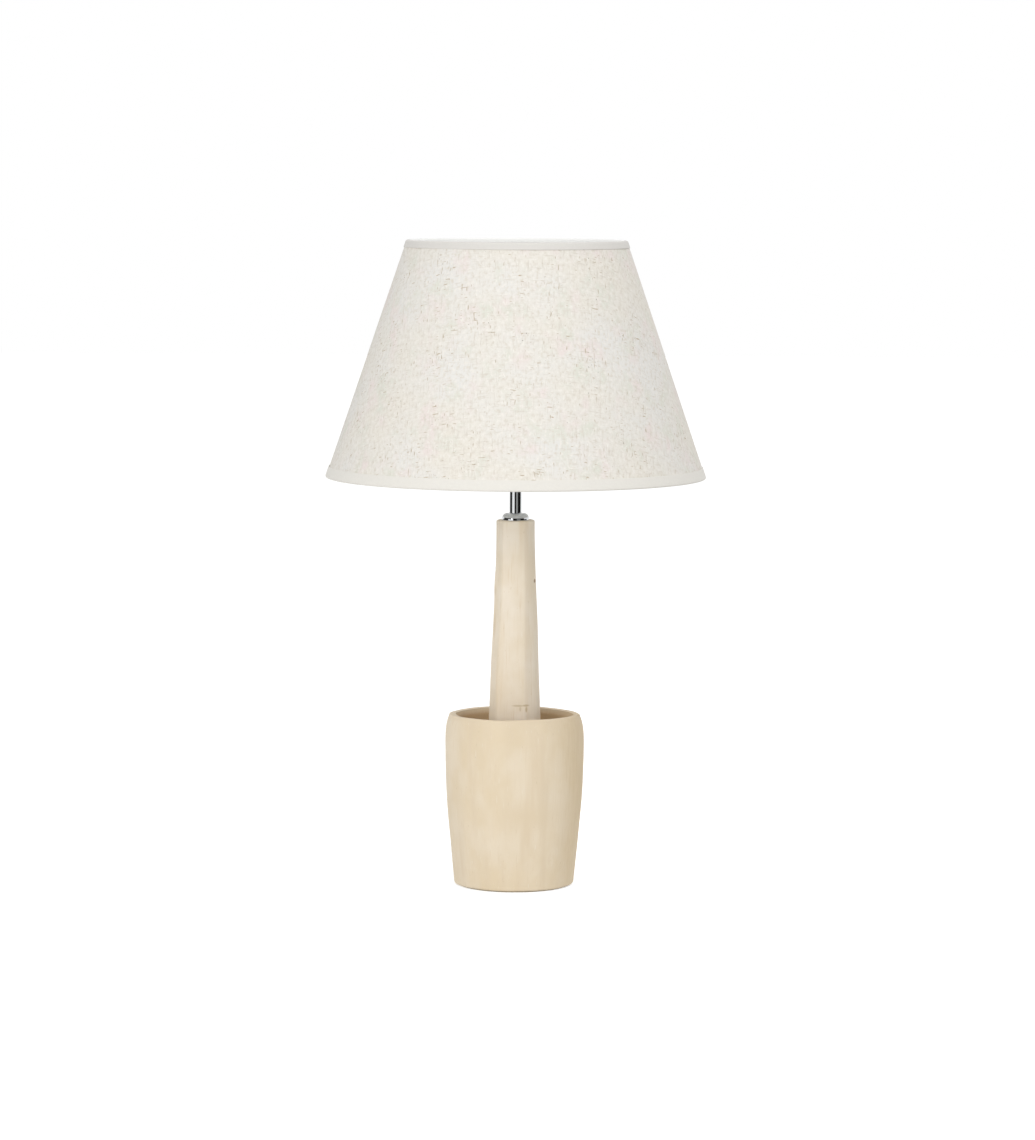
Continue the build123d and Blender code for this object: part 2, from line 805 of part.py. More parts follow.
def hem(edge, ring_radius, up):
    """A band folded over an edge of the shade and its ring; up is +1 at the lower edge, -1 at the top."""
    inner = ring_radius - ring_wire_radius - seat_gap
    fold = edge * shade_height - up * seat_gap
    leg = edge * shade_height + up * hem_leg
    tuck = edge * shade_height + up * (2 * ring_wire_radius - seat_gap)
    outer_leg = wall_radius(leg, -seat_gap)
    outer_fold = wall_radius(fold, -seat_gap)
    with BuildPart() as band:
        with BuildSketch(Plane.XZ):
            with BuildLine():
                Polyline(
                    (outer_leg, shade_z + leg),
                    (outer_fold, shade_z + fold),
                    (inner, shade_z + fold),
                    (inner, shade_z + tuck),
                    (inner - hem_thickness, shade_z + tuck),
                    (inner - hem_thickness, shade_z + fold - up * hem_thickness),
                    (outer_fold + hem_thickness, shade_z + fold - up * hem_thickness),
                    (outer_leg + hem_thickness, shade_z + leg),
                    close=True,
                )
            make_face()
        revolve(axis=Axis.Z)
    return band.part


bottom_hem = hem(0, bottom_ring_radius, 1)
bottom_hem.label = "bottom_hem"
export_step(bottom_hem, "parts/bottom_hem.step")

top_hem = hem(1, top_ring_radius, -1)
top_hem.label = "top_hem"
export_step(top_hem, "parts/top_hem.step")

fitter_ring = disc(fitter_radius, ring_bore_radius, fitter_z, fitter_thickness)
fitter_ring.label = "fitter_ring"
export_step(fitter_ring, "parts/fitter_ring.step")

# Each arm leaves the fitter level, slopes down and ends level on the lower ring.
arm_end_height = 2 * ring_wire_radius + arm_wire_radius + laminate_gap
arm_end_radius = wall_radius(arm_end_height + arm_wire_radius, wall_depth) - loose_gap
arm_start_radius = fitter_radius + laminate_gap
arm_start_z = fitter_z + fitter_thickness / 2
with BuildPart() as arm:
    with BuildLine(Plane.XZ):
        run = FilletPolyline(
            (arm_start_radius, arm_start_z),
            (arm_start_radius + arm_flat_end, arm_start_z),
            (arm_end_radius - arm_flat_end, shade_z + arm_end_height),
            (arm_end_radius, shade_z + arm_end_height),
            radius=arm_bend_radius,
        )
    with BuildSketch(Plane(run @ 0, z_dir=run % 0)):
        Circle(arm_wire_radius)
    sweep(path=run)
with BuildPart() as spider_arms:
    with PolarLocations(0, arm_count, start_angle=arm_back_angle):
        add(arm.part)
spider_arms.part.label = "spider_arms"
export_step(spider_arms.part, "parts/spider_arms.step")
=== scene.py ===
import math

import bmesh
import bpy
import numpy as np
from mathutils import Matrix, Vector


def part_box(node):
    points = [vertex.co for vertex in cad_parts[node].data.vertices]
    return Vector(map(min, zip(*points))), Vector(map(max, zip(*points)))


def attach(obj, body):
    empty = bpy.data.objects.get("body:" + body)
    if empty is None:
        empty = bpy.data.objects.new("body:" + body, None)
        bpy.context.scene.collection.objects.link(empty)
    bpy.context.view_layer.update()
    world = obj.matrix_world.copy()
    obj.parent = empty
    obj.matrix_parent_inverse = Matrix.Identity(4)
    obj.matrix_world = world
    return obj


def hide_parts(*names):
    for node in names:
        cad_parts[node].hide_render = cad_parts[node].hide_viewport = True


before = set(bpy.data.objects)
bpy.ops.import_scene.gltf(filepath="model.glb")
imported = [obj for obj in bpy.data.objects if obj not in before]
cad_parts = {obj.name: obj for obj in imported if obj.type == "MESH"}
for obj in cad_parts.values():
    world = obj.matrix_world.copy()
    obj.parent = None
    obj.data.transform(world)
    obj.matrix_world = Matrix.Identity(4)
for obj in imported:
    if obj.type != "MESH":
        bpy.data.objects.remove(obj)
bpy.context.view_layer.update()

# ---------------------------------------------------------------- camera, lights and stage
# The lamp stands on a pale table in a white studio. The camera is a long lens a little above the
# top of the shade; two weak soft boxes stand in front and a third high at the right.
camera_data = bpy.data.cameras.new("camera")
camera_data.sensor_width = 36.0
camera_data.lens = 137.2
camera_data.clip_end = 60.0
camera_place, camera_drop, camera_roll = (0.0018, -3.47, 0.590), 5.53, 0.30
camera = bpy.data.objects.new("camera", camera_data)
camera.matrix_world = (
    Matrix.Translation(camera_place)
    @ Matrix.Rotation(math.radians(90 - camera_drop), 4, "X")
    @ Matrix.Rotation(math.radians(camera_roll), 4, "Z")
)
bpy.context.scene.collection.objects.link(camera)
bpy.context.scene.camera = camera
bpy.context.scene.view_settings.view_transform = "Standard"


def linear(code):
    """sRGB hex to linear light: a dark part over 12.92, any other to the power 2.4 once it is
    shifted. The colour is opaque."""
    part = np.array([int(code[i : i + 2], 16) for i in (0, 2, 4)]) / 255
    part = np.where(part <= 0.04045, part / 12.92, ((part + 0.055) / 1.055) ** 2.4)
    return (*(float(p) for p in part), 1.0)


def add(tree, kind, inputs=None, **settings):
    """Adds a node: settings are its properties, and inputs are numbers, colours or sockets."""
    node = tree.nodes.new(kind)
    for name, value in settings.items():
        setattr(node, name, value)
    for name, value in (inputs or {}).items():
        if isinstance(value, bpy.types.NodeSocket):
            tree.links.new(value, node.inputs[name])
        else:
            node.inputs[name].default_value = value
    return node


aim_height = 0.25


def soft_light(name, azimuth, elevation, distance, size, power):
    """A square soft box that faces the lamp's middle (azimuth 0 is the front, 90 the right)."""
    data = bpy.data.lights.new(name, "AREA")
    data.shape = "SQUARE"
    data.size = size
    data.energy = power
    a, e = math.radians(azimuth), math.radians(elevation)
    way = Vector((math.sin(a) * math.cos(e), -math.cos(a) * math.cos(e), math.sin(e)))
    light = bpy.data.objects.new(name, data)
    light.matrix_world = Matrix.Translation(
        Vector((0, 0, aim_height)) + way * distance
    ) @ way.to_track_quat("Z", "Y").to_matrix().to_4x4()
    bpy.context.scene.collection.objects.link(light)


soft_light("key", -30, 15, 2.4, 1.4, 17)
soft_light("front", 5, 12, 2.8, 1.6, 6)
soft_light("high", 70, 62, 2.4, 1.2, 14)


def white_to_the_eye(tree):
    """One where a camera, mirror or glass ray arrives, and nought where light is gathered."""
    path = add(tree, "ShaderNodeLightPath").outputs
    seen = add(
        tree,
        "ShaderNodeMath",
        {0: path["Is Camera Ray"], 1: path["Is Glossy Ray"]},
        operation="MAXIMUM",
    )
    return add(
        tree,
        "ShaderNodeMath",
        {0: seen.outputs[0], 1: path["Is Transmission Ray"]},
        operation="MAXIMUM",
    ).outputs[0]


# The room lights the lamp evenly from all round.
world = bpy.data.worlds.new("studio")
world.use_nodes = True
tree = world.node_tree
tree.nodes.clear()
ambient = add(tree, "ShaderNodeBackground", {"Color": linear("FCFCFC"), "Strength": 0.69})
white = add(tree, "ShaderNodeBackground", {"Color": linear("FFFFFF"), "Strength": 1.0})
sky = add(
    tree,
    "ShaderNodeMixShader",
    {0: white_to_the_eye(tree), 1: ambient.outputs[0], 2: white.outputs[0]},
)
add(tree, "ShaderNodeOutputWorld", {"Surface": sky.outputs[0]})
bpy.context.scene.world = world


crease_angle = math.radians(38)


def skin(name, grid, around=True, along=True):
    """Quads over a grid of points in millimetres, rows by columns. around joins the last column
    to the first, along the last row to the first; points that fall together are merged. A row
    that runs to the right and rows that follow each other upwards give faces that look
    outwards."""
    rows, columns = grid.shape[:2]
    index = np.arange(rows * columns).reshape(rows, columns)
    if around:
        index = np.hstack([index, index[:, :1]])
    if along:
        index = np.vstack([index, index[:1]])
    quads = np.stack([index[:-1, :-1], index[:-1, 1:], index[1:, 1:], index[1:, :-1]], -1)
    mesh = bpy.data.meshes.new(name)
    mesh.vertices.add(rows * columns)
    mesh.vertices.foreach_set("co", (grid / 1000).astype(np.float32).ravel())
    mesh.loops.add(quads.size)
    mesh.loops.foreach_set("vertex_index", quads.astype(np.int32).ravel())
    mesh.polygons.add(quads.size // 4)
    mesh.polygons.foreach_set("loop_start", np.arange(0, quads.size, 4, dtype=np.int32))
    mesh.update(calc_edges=True)
    shape = bmesh.new()
    shape.from_mesh(mesh)
    bmesh.ops.remove_doubles(shape, verts=shape.verts, dist=1e-7)
    shape.to_mesh(mesh)
    shape.free()
    mesh.shade_smooth()
    mesh.set_sharp_from_angle(angle=crease_angle)
    piece = bpy.data.objects.new(name, mesh)
    bpy.context.scene.collection.objects.link(piece)
    return piece


def paint(piece, material):
    """Gives a piece, or a node of the frame, one material in every slot."""
    if not piece.data.materials:
        piece.data.materials.append(material)
    for number in range(len(piece.material_slots)):
        piece.material_slots[number].material = material
    return piece


# The floor is a white table top that keeps the lamp's shadow.
floor_reach = 9000.0
floor = skin(
    "floor",
    floor_reach * np.array([[[-1, -1, 0], [1, -1, 0]], [[-1, 1, 0], [1, 1, 0]]], float),
    around=False,
    along=False,
)
floor_paint = bpy.data.materials.new("white table top")
floor_paint.use_nodes = True
tree = floor_paint.node_tree
tree.nodes.clear()
top = add(tree, "ShaderNodeBsdfDiffuse", {"Color": linear("DCDCDA")})
glow = add(tree, "ShaderNodeEmission", {"Color": linear("FFFFFF"), "Strength": 0.64})
lit = add(tree, "ShaderNodeAddShader", {0: top.outputs[0], 1: glow.outputs[0]})
both = add(
    tree,
    "ShaderNodeMixShader",
    {0: white_to_the_eye(tree), 1: top.outputs[0], 2: lit.outputs[0]},
)
add(tree, "ShaderNodeOutputMaterial", {"Surface": both.outputs[0]})
paint(floor, floor_paint)

# Dark and grey cards stand round the lamp, out of the light, where only glossy skins mirror them,
# the chrome above all. Each band has its first and last azimuth, its lower and upper height, and
# its tone.
card_distance = 1300.0
card_bands = [
    (-125, -64, 60, 240, "3A3A3A"),
    (-20, 10, 60, 240, "1E1E1D"),
    (10, 42, 60, 240, "A0A09E"),
    (42, 108, 60, 240, "161615"),
    (-110, -34, 240, 800, "2A2422"),
    (-26, 75, 240, 800, "1A1613"),
]
for number, (first, last, low, high, code) in enumerate(card_bands):
    a = np.radians(np.linspace(first, last, 17))[None, :]
    z = np.array([[float(low)], [float(high)]])
    card = skin(
        f"card_{number}",
        np.stack(
            [card_distance * np.sin(a) + 0 * z, -card_distance * np.cos(a) + 0 * z, z + 0 * a], -1
        ),
        around=False,
        along=False,
    )
    card_paint = bpy.data.materials.new("card " + code)
    card_paint.use_nodes = True
    tree = card_paint.node_tree
    tree.nodes.clear()
    glow = add(tree, "ShaderNodeEmission", {"Color": linear(code), "Strength": 1.0})
    add(tree, "ShaderNodeOutputMaterial", {"Surface": glow.outputs[0]})
    paint(card, card_paint)
    card.visible_camera = False
    card.visible_diffuse = False
    card.visible_shadow = False
    card.visible_transmission = False

# ---------------------------------------------------------------- the wooden cup (pot)
# The foot is a cup, cut from one block of pale limewood with the grain upright, shaped with a
# knife so that broad soft cuts run down it, sanded, and finished with a satin lacquer.
azimuth = np.linspace(-np.pi, np.pi, 384, endpoint=False)


def extent(node):
    """A node's lowest and highest corners at rest, in millimetres."""
    return (np.array(corner) * 1000 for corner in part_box(node))


def turned(profile, angles=azimuth):
    """Carries a profile of (radius, height) pairs round the axis: x is the radius times the
    sine of the angle, y minus the radius times its cosine, so that angle 0 is the front."""
    r, z = profile[:, :1], profile[:, 1:]
    return np.stack([r * np.sin(angles), -r * np.cos(angles), z + 0 * r * angles], -1)


def between(corners, step):
    """Points along straight runs from corner to corner, no further apart than a step."""
    parts = []
    for a, b in zip(corners[:-1], corners[1:]):
        count = max(1, math.ceil(math.dist(a, b) / step))
        parts.append(np.linspace(a, b, count, endpoint=False))
    return np.vstack([*parts, corners[-1:]])


def through(knots, count):
    """A smooth line through (height, radius, slope) knots: on each span the cubic that takes the
    radius and the slope of both its ends."""
    heights, radii, slopes = np.array(knots, float).T
    z = np.linspace(heights[0], heights[-1], count)
    i = np.clip(np.searchsorted(heights, z) - 1, 0, len(heights) - 2)
    width = heights[i + 1] - heights[i]
    t = (z - heights[i]) / width
    r = (
        (2 * t**3 - 3 * t**2 + 1) * radii[i]
        + (t**3 - 2 * t**2 + t) * width * slopes[i]
        + (3 * t**2 - 2 * t**3) * radii[i + 1]
        + (t**3 - t**2) * width * slopes[i + 1]
    )
    return np.stack([r, z], -1)


def arc(centre, radius, first, last, count):
    """Points on a circle about (radius, height) from one angle to another, in degrees."""
    a = np.radians(np.linspace(first, last, count))
    return np.stack([centre[0] + radius * np.cos(a), centre[1] + radius * np.sin(a)], -1)


def knife_cuts(edges, angle, height, drift, softness):
    """How far out a faceted post reaches, as a share of its radius. Each cut is a chord between
    two edges, whose reach is cos(half its width) / cos(angle from its middle); the soft least of
    all the reaches, -softness log(sum of exp(-reach / softness)), rounds the ridges. A cut sets
    no limit to what faces away from it. Heights shift each cut a little to and fro, so that the
    ridges wander as a knife's do."""
    least_facing, no_limit = 0.3, 3.0
    edges = np.radians(np.array(edges, float))
    after = np.append(edges[1:], edges[0] + 2 * np.pi)
    number = np.arange(len(edges))
    sway = height[..., None]
    middle = (edges + after) / 2 + drift * np.sin(sway / 37 + 1.7 * number)
    depth = np.cos((after - edges) / 2) * (1 + 0.1 * drift * np.sin(sway / 21 + 2.3 * number))
    away = np.cos(angle[..., None] - middle)
    reach = np.where(away > least_facing, depth / np.maximum(away, least_facing), no_limit)
    share = -softness * np.log(np.exp(-reach / softness).sum(-1))
    return share / share.mean()


pot_low, pot_high = extent("pot")
foot_z, rim_z, belly_radius = pot_low[2], pot_high[2], pot_high[0]
foot_radius, foot_rounding, foot_lean = 48.3, 1.6, 0.09
belly_below_rim = 32.0
rim_radius, rim_wall, rim_lean = 52.6, 3.2, -0.35
cup_floor_z, cup_floor_radius, cup_floor_rounding = 57.0, 45.9, 6.0
seat_z, seat_radius = 54.0, 23.7
pocket_top_z, pocket_low_z, pocket_radius = 32.0, 14.0, 36.2
cord_room_radius, tube_hole_radius = 41.2, 5.2
rim_round_z = rim_z - rim_wall / 2
pot_outside = through(
    [
        (foot_z + foot_rounding, foot_radius, foot_lean),
        (rim_z - belly_below_rim, belly_radius, 0.0),
        (rim_round_z, rim_radius, rim_lean),
    ],
    110,
)
rounded = foot_radius - foot_rounding
rounded_floor = cup_floor_radius - cup_floor_rounding
foot_part = np.vstack(
    [
        between([(cord_room_radius, foot_z), (rounded - 0.2, foot_z)], 2),
        arc((rounded, foot_z + foot_rounding), foot_rounding, -78, -12, 7),
    ]
)
rim_part = arc((rim_radius - rim_wall / 2, rim_round_z), rim_wall / 2, 12, 102, 10)
# the cup's mouth is eased with a knife: inside the rim a soft bevel runs down, steep and rounded,
# to where the wall goes on
bevel_width, bevel_height, bevel_rounding = 5.2, 5.6, 1.0
bevel_lean, bevel_start, wall_setback = 1.4, 1.5, 0.9
mouth_radius = rim_radius - rim_wall / 2 - bevel_width
wall_part = np.vstack(
    [
        arc((mouth_radius, rim_z - bevel_height), bevel_rounding, 78, 14, 6)
        + np.linspace(1, 0, 6)[:, None] * [bevel_lean, bevel_height - bevel_start],
        between(
            [
                (mouth_radius + wall_setback, rim_z - bevel_height - bevel_rounding),
                (cup_floor_radius, cup_floor_z + cup_floor_rounding),
            ],
            1.6,
        ),
    ]
)
floor_part = np.vstack(
    [
        arc((rounded_floor, cup_floor_z + cup_floor_rounding), cup_floor_rounding, -10, -90, 9),
        between([(rounded_floor - 1, cup_floor_z), (seat_radius, cup_floor_z)], 2),
        between([(seat_radius, cup_floor_z), (seat_radius, seat_z)], 2)[1:],
        between([(seat_radius - 0.7, seat_z), (tube_hole_radius, seat_z)], 4),
        between([(tube_hole_radius, seat_z - 1), (tube_hole_radius, pocket_top_z)], 5),
        between([(tube_hole_radius + 1, pocket_top_z), (pocket_radius, pocket_top_z)], 6),
        between([(pocket_radius, pocket_top_z - 1), (pocket_radius, pocket_low_z)], 4),
        between([(pocket_radius + 0.5, pocket_low_z), (cord_room_radius, pocket_low_z)], 2),
        between([(cord_room_radius, pocket_low_z - 1), (cord_room_radius, foot_z + 0.5)], 3),
    ]
)
pot_profile = np.vstack([foot_part, pot_outside, rim_part, wall_part, floor_part])
cup = turned(pot_profile)
z = cup[..., 2]
a = np.broadcast_to(azimuth, z.shape)
cup_edges = [-50, -25, -8, 23, 43, 66, 90, 114, 139, 168, 192, 214, 238, 262, 286]
carved = knife_cuts(cup_edges, a, z, 0.05, 0.016)
ripple = (
    0.16 * np.sin(3 * a + z / 17)
    + 0.13 * np.sin(5 * a - z / 13 + 1.1)
    + 0.10 * np.sin(2 * a + z / 8 + 2.6)
    + 0.06 * np.sin(9 * a + z / 6 + 0.4)
)
# the cuts have their full depth outside, and fade inside from the rim down to the cup's floor
cut_depth = 0.5
row = np.arange(len(pot_profile))
outer = row < len(foot_part) + len(pot_outside) + len(rim_part)
inner = ~outer & (row < len(pot_profile) - len(floor_part))
fade = np.clip((pot_profile[:, 1] - cup_floor_z) / (rim_z - cup_floor_z), 0, 1)
strength = cut_depth * np.where(outer, 1.0, np.where(inner, fade, 0.0))[:, None]
grow = 1 + strength * ((carved - 1) + ripple / foot_radius)
cup[..., :2] *= grow[..., None]
# the rim was cut by eye: it wavers, and lies a little lower at the back
waver_depth, waver_ramp, back_drop = 18, 16, 0.8
near_rim = np.clip((z - rim_z + waver_depth) / waver_ramp, 0, 1) ** 2
waver = 0.32 * np.sin(2 * a + 0.9) + 0.2 * np.sin(3 * a - 1.0) + 0.1 * np.sin(7 * a) - 0.45
cup[..., 2] += near_rim * (waver - back_drop * (1 - np.cos(a)))
pot = skin("wooden_cup", cup)

# the cord's hole through the back wall, with a flat spot round it for the bushing's flange
bushing_low, bushing_high = extent("cord_bushing")
cord_hole_z = (bushing_low[2] + bushing_high[2]) / 2
drill_radius, spot_radius, spot_depth = 4.7, 5.8, 1.3
drill_start, bit_end = 20.0, 70.0
round_bit = arc((0, 0), 1.0, 0, 360, 49)[:-1]
for name, radius, start in (
    ("drill", drill_radius, drill_start),
    ("spot", spot_radius, foot_radius - spot_depth),
):
    length = np.array([start, start, bit_end, bit_end])[:, None]
    width = np.array([0.0, radius, radius, 0.0])[:, None]
    across, upwards = width * round_bit[:, 0], width * round_bit[:, 1]
    bit = skin(
        name, np.stack([across, length + 0 * across, cord_hole_z + upwards], -1), along=False
    )
    cut = pot.modifiers.new(name, "BOOLEAN")
    cut.operation = "DIFFERENCE"
    cut.solver = "EXACT"
    cut.object = bit
    bpy.context.view_layer.update()
    holed = bpy.data.meshes.new_from_object(
        pot.evaluated_get(bpy.context.evaluated_depsgraph_get())
    )
    pot.modifiers.clear()
    pot.data = holed
    bpy.data.objects.remove(bit)
pot.data.shade_smooth()
pot.data.set_sharp_from_angle(angle=crease_angle)


def blend(tree, factor, low, high, under, over):
    """Puts one colour over another by how far the factor lies from low to high."""
    share = add(
        tree,
        "ShaderNodeMapRange",
        {"Value": factor, "From Min": low, "From Max": high, "To Min": 0.0, "To Max": 1.0},
        interpolation_type="SMOOTHSTEP",
    )
    return add(
        tree,
        "ShaderNodeMix",
        {0: share.outputs[0], 6: under, 7: over},
        data_type="RGBA",
    ).outputs[2]


def lacquered_limewood(name, deep, pale, stains_and_painted_shade):
    """Pale limewood under satin lacquer: faint fibres and pores along the height, soft warm and
    cool clouds, stains and patches of painted shade, and a thin clear coat that keeps the sheen
    broad.
    Each stain or shade patch is a centre and three reaches in millimetres, its edge and its
    colour."""
    material = bpy.data.materials.new(name)
    material.use_nodes = True
    tree = material.node_tree
    shader = tree.nodes["Principled BSDF"]
    place = add(tree, "ShaderNodeTexCoord").outputs["Object"]

    def pattern(across, along, detail, seed):
        """Noise whose features are that many millimetres across and along the grain."""
        stretch = add(
            tree,
            "ShaderNodeMapping",
            {
                "Vector": place,
                "Location": (seed, seed * 1.7, 0),
                "Scale": (1000 / across, 1000 / across, 1000 / along),
            },
        )
        return add(
            tree,
            "ShaderNodeTexNoise",
            {"Vector": stretch.outputs[0], "Scale": 1.0, "Detail": detail, "Roughness": 0.55},
        ).outputs["Fac"]

    clouds = pattern(30, 42, 3, 3.0)
    colour = blend(tree, clouds, 0.34, 0.66, linear(deep), linear(pale))
    figure = pattern(11, 130, 2, 9.0)
    colour = blend(tree, figure, 0.48, 0.80, colour, linear("E4D2B6"))
    fibres = pattern(1.4, 34, 4, 1.0)
    colour = blend(tree, fibres, 0.54, 0.80, colour, linear("E4D2B6"))
    streaks = pattern(1.0, 16, 2, 5.0)
    colour = blend(tree, streaks, 0.62, 0.84, colour, linear("F0E5D3"))
    pores = pattern(0.8, 4.0, 1, 7.0)
    colour = blend(tree, pores, 0.72, 0.82, colour, linear("D8C5A6"))
    # each stain, or patch of painted shade, lays its colour over the wood within its ragged reach
    for centre, reach, edge, code in stains_and_painted_shade:
        spot = add(
            tree,
            "ShaderNodeMapping",
            {
                "Vector": place,
                "Location": tuple(-c / r for c, r in zip(centre, reach)),
                "Scale": tuple(1000 / r for r in reach),
            },
        )
        far = add(tree, "ShaderNodeVectorMath", {0: spot.outputs[0]}, operation="LENGTH")
        ragged = add(
            tree,
            "ShaderNodeMath",
            {0: fibres, 1: edge, 2: far.outputs["Value"]},
            operation="MULTIPLY_ADD",
        )
        faint, full = 1 + 1.5 * edge, 1 - 0.5 * edge
        colour = blend(tree, ragged.outputs[0], faint, full, colour, linear(code))
    tree.links.new(colour, shader.inputs["Base Color"])
    satin = add(
        tree,
        "ShaderNodeMapRange",
        {"Value": clouds, "From Min": 0.3, "From Max": 0.7, "To Min": 0.52, "To Max": 0.64},
    )
    tree.links.new(satin.outputs[0], shader.inputs["Roughness"])
    relief = add(tree, "ShaderNodeMath", {0: fibres, 1: streaks}, operation="ADD")
    bump = add(
        tree,
        "ShaderNodeBump",
        {"Height": relief.outputs[0], "Strength": 0.25, "Distance": 0.0001},
    )
    scrape = add(
        tree,
        "ShaderNodeBump",
        {
            "Height": pattern(13, 30, 2, 13.0),
            "Strength": 0.4,
            "Distance": 0.0011,
            "Normal": bump.outputs[0],
        },
    )
    tree.links.new(scrape.outputs[0], shader.inputs["Normal"])
    shader.inputs["IOR"].default_value = 1.5
    shader.inputs["Coat Weight"].default_value = 0.1
    shader.inputs["Coat Roughness"].default_value = 0.35
    shader.inputs["Coat IOR"].default_value = 1.5
    return material


cup_stains_and_painted_shade = [
    # inside the cup the wood is browner: partly browner bare wood, partly painted shade of the
    # hollow
    ((0, 0, 112), (51.3, 51.3, 112), 0.02, "CDB08A"),
    # a band in the wood's own tone round the rim, where that inside darkening stops
    ((0, 0, 140), (60, 60, 9), 0.15, "E6D4B8"),
    # the right side of the cup darker: painted shade
    ((62, 2, 84), (22, 46, 125), 0.9, "D1BA93"),
    # a faint stain low at the front
    ((10, -54, 62), (22, 26, 9), 1.2, "E5D3B6"),
]
paint(pot, lacquered_limewood("limewood cup, satin lacquer", "E6D4B6", "ECDDC5", cup_stains_and_painted_shade))
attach(pot, "base")
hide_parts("pot")

# ---------------------------------------------------------------- the wooden column
# The post is cut from the same limewood with long knife strokes from end to end, which leave
# broad soft facets; it tapers upwards, stands glued in the cup's floor and is bored for the tube.
column_low, column_high = extent("column")
column_z, column_top_z, column_foot_radius = column_low[2], column_high[2], column_high[0]
column_rim_radius, column_middle_radius, column_top_radius = 20.2, 17.2, 15.0
column_middle_z, column_rounding = rim_z + 88.0, 1.4
shoulder_z = column_top_z - column_rounding
column_side = through(
    [
        (column_z, column_foot_radius, -0.039),
        (rim_z, column_rim_radius, -0.034),
        (column_middle_z, column_middle_radius, -0.042),
        (shoulder_z, column_top_radius, 0.0),
    ],
    170,
)
column_profile = np.vstack(
    [
        between([(tube_hole_radius, column_z), (column_foot_radius - 1, column_z)], 4),
        column_side,
        arc((column_top_radius - column_rounding, shoulder_z), column_rounding, 10, 90, 8),
        between([(13.0, column_top_z), (tube_hole_radius, column_top_z)], 2),
        between([(tube_hole_radius, column_top_z - 2), (tube_hole_radius, column_z + 1)], 12),
    ]
)
post = turned(column_profile)
z = post[..., 2]
a = np.broadcast_to(azimuth, z.shape)
column_edges = [-42, 26, 56, 88, 122, 160, 197, 234, 272]
carved = knife_cuts(column_edges, a, z, 0.05, 0.034)
# the cuts start above the glued foot and don't reach into the bore
facet_depth, facets_start_z, facets_full_z, bore_side = 0.7, 60, 110, 13.5
rise = np.clip((z - facets_start_z) / (facets_full_z - facets_start_z), 0, 1)
outside = (column_profile[:, 0] > bore_side)[:, None] * rise
# on the left a long stroke went deep, and left a small swelling where it started
swell_z, swell_reach, swell_height = 243, 9, 0.45
stroke_z, stroke_reach, stroke_depth = 222, 42, 1.1
to_the_left = np.clip(-np.sin(a), 0, 1)
swelling = swell_height * np.exp(-(((z - swell_z) / swell_reach) ** 2)) * to_the_left**2
flattening = -stroke_depth * np.exp(-(((z - stroke_z) / stroke_reach) ** 2)) * to_the_left
ripple = 0.08 * np.sin(4 * a + z / 15) + 0.06 * np.sin(3 * a - z / 9 + 1.3)
from_axis = np.hypot(post[..., 0], post[..., 1])
grow = 1 + outside * (facet_depth * (carved - 1) + (swelling + flattening + ripple) / from_axis)
post[..., :2] *= grow[..., None]
column = skin("wooden_column", post)
column_stains_and_painted_shade = [
    ((2.6, -20, 146.6), (4.6, 6, 0.8), 0.4, "D6C4A5"),
    ((9.0, -18, 146.8), (2.6, 6, 0.8), 0.4, "D2BF9E"),
    ((4.6, -20, 144.0), (0.8, 6, 1.9), 0.4, "DACAAE"),
    ((9.4, -18, 143.6), (0.8, 6, 2.1), 0.4, "D2BF9E"),
    # two darker patches on the left, where the long stroke runs: painted shade
    ((-17.4, -6, 238), (1.9, 5, 6), 0.5, "D6C2A0"),
    ((-17.2, -7, 214), (1.6, 5, 16), 0.5, "DCCAAC"),
    ((15.8, -6.5, 246), (0.9, 3, 1.6), 0.3, "94744C"),
]
post_wood = lacquered_limewood(
    "limewood column, satin lacquer", "E9DAC2", "F0E4D2", column_stains_and_painted_shade
)
paint(column, post_wood)
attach(column, "base")
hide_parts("column")


def stuff(name, code, roughness, patch, relief, metallic=0.0, ior=None, tone=0.06):
    """A material of one make: its tone and roughness drift over patches of that many millimetres,
    and its skin has grain of a third of that size, with a relief in millimetres."""
    material = bpy.data.materials.new(name)
    material.use_nodes = True
    tree = material.node_tree
    shader = tree.nodes["Principled BSDF"]
    place = add(tree, "ShaderNodeTexCoord").outputs["Object"]
    drift = add(
        tree,
        "ShaderNodeTexNoise",
        {"Vector": place, "Scale": 1000 / patch, "Detail": 3.0, "Roughness": 0.6},
    ).outputs["Fac"]
    grain = add(
        tree,
        "ShaderNodeTexNoise",
        {"Vector": place, "Scale": 3000 / patch, "Detail": 4.0, "Roughness": 0.6},
    ).outputs["Fac"]
    full = linear(code)
    dark = (*(p * (1 - tone) for p in full[:3]), 1.0)
    light = (*(min(1.0, p * (1 + tone)) for p in full[:3]), 1.0)
    mix = add(tree, "ShaderNodeMix", {0: drift, 6: dark, 7: light}, data_type="RGBA")
    tree.links.new(mix.outputs[2], shader.inputs["Base Color"])
    rough = add(
        tree,
        "ShaderNodeMapRange",
        {
            "Value": grain,
            "From Min": 0.3,
            "From Max": 0.7,
            "To Min": roughness * 0.85,
            "To Max": min(1.0, roughness * 1.15),
        },
    )
    tree.links.new(rough.outputs[0], shader.inputs["Roughness"])
    bump = add(
        tree,
        "ShaderNodeBump",
        {"Height": grain, "Strength": 0.4, "Distance": relief / 1000},
    )
    tree.links.new(bump.outputs[0], shader.inputs["Normal"])
    shader.inputs["Metallic"].default_value = metallic
    if ior:
        shader.inputs["IOR"].default_value = ior
    return material


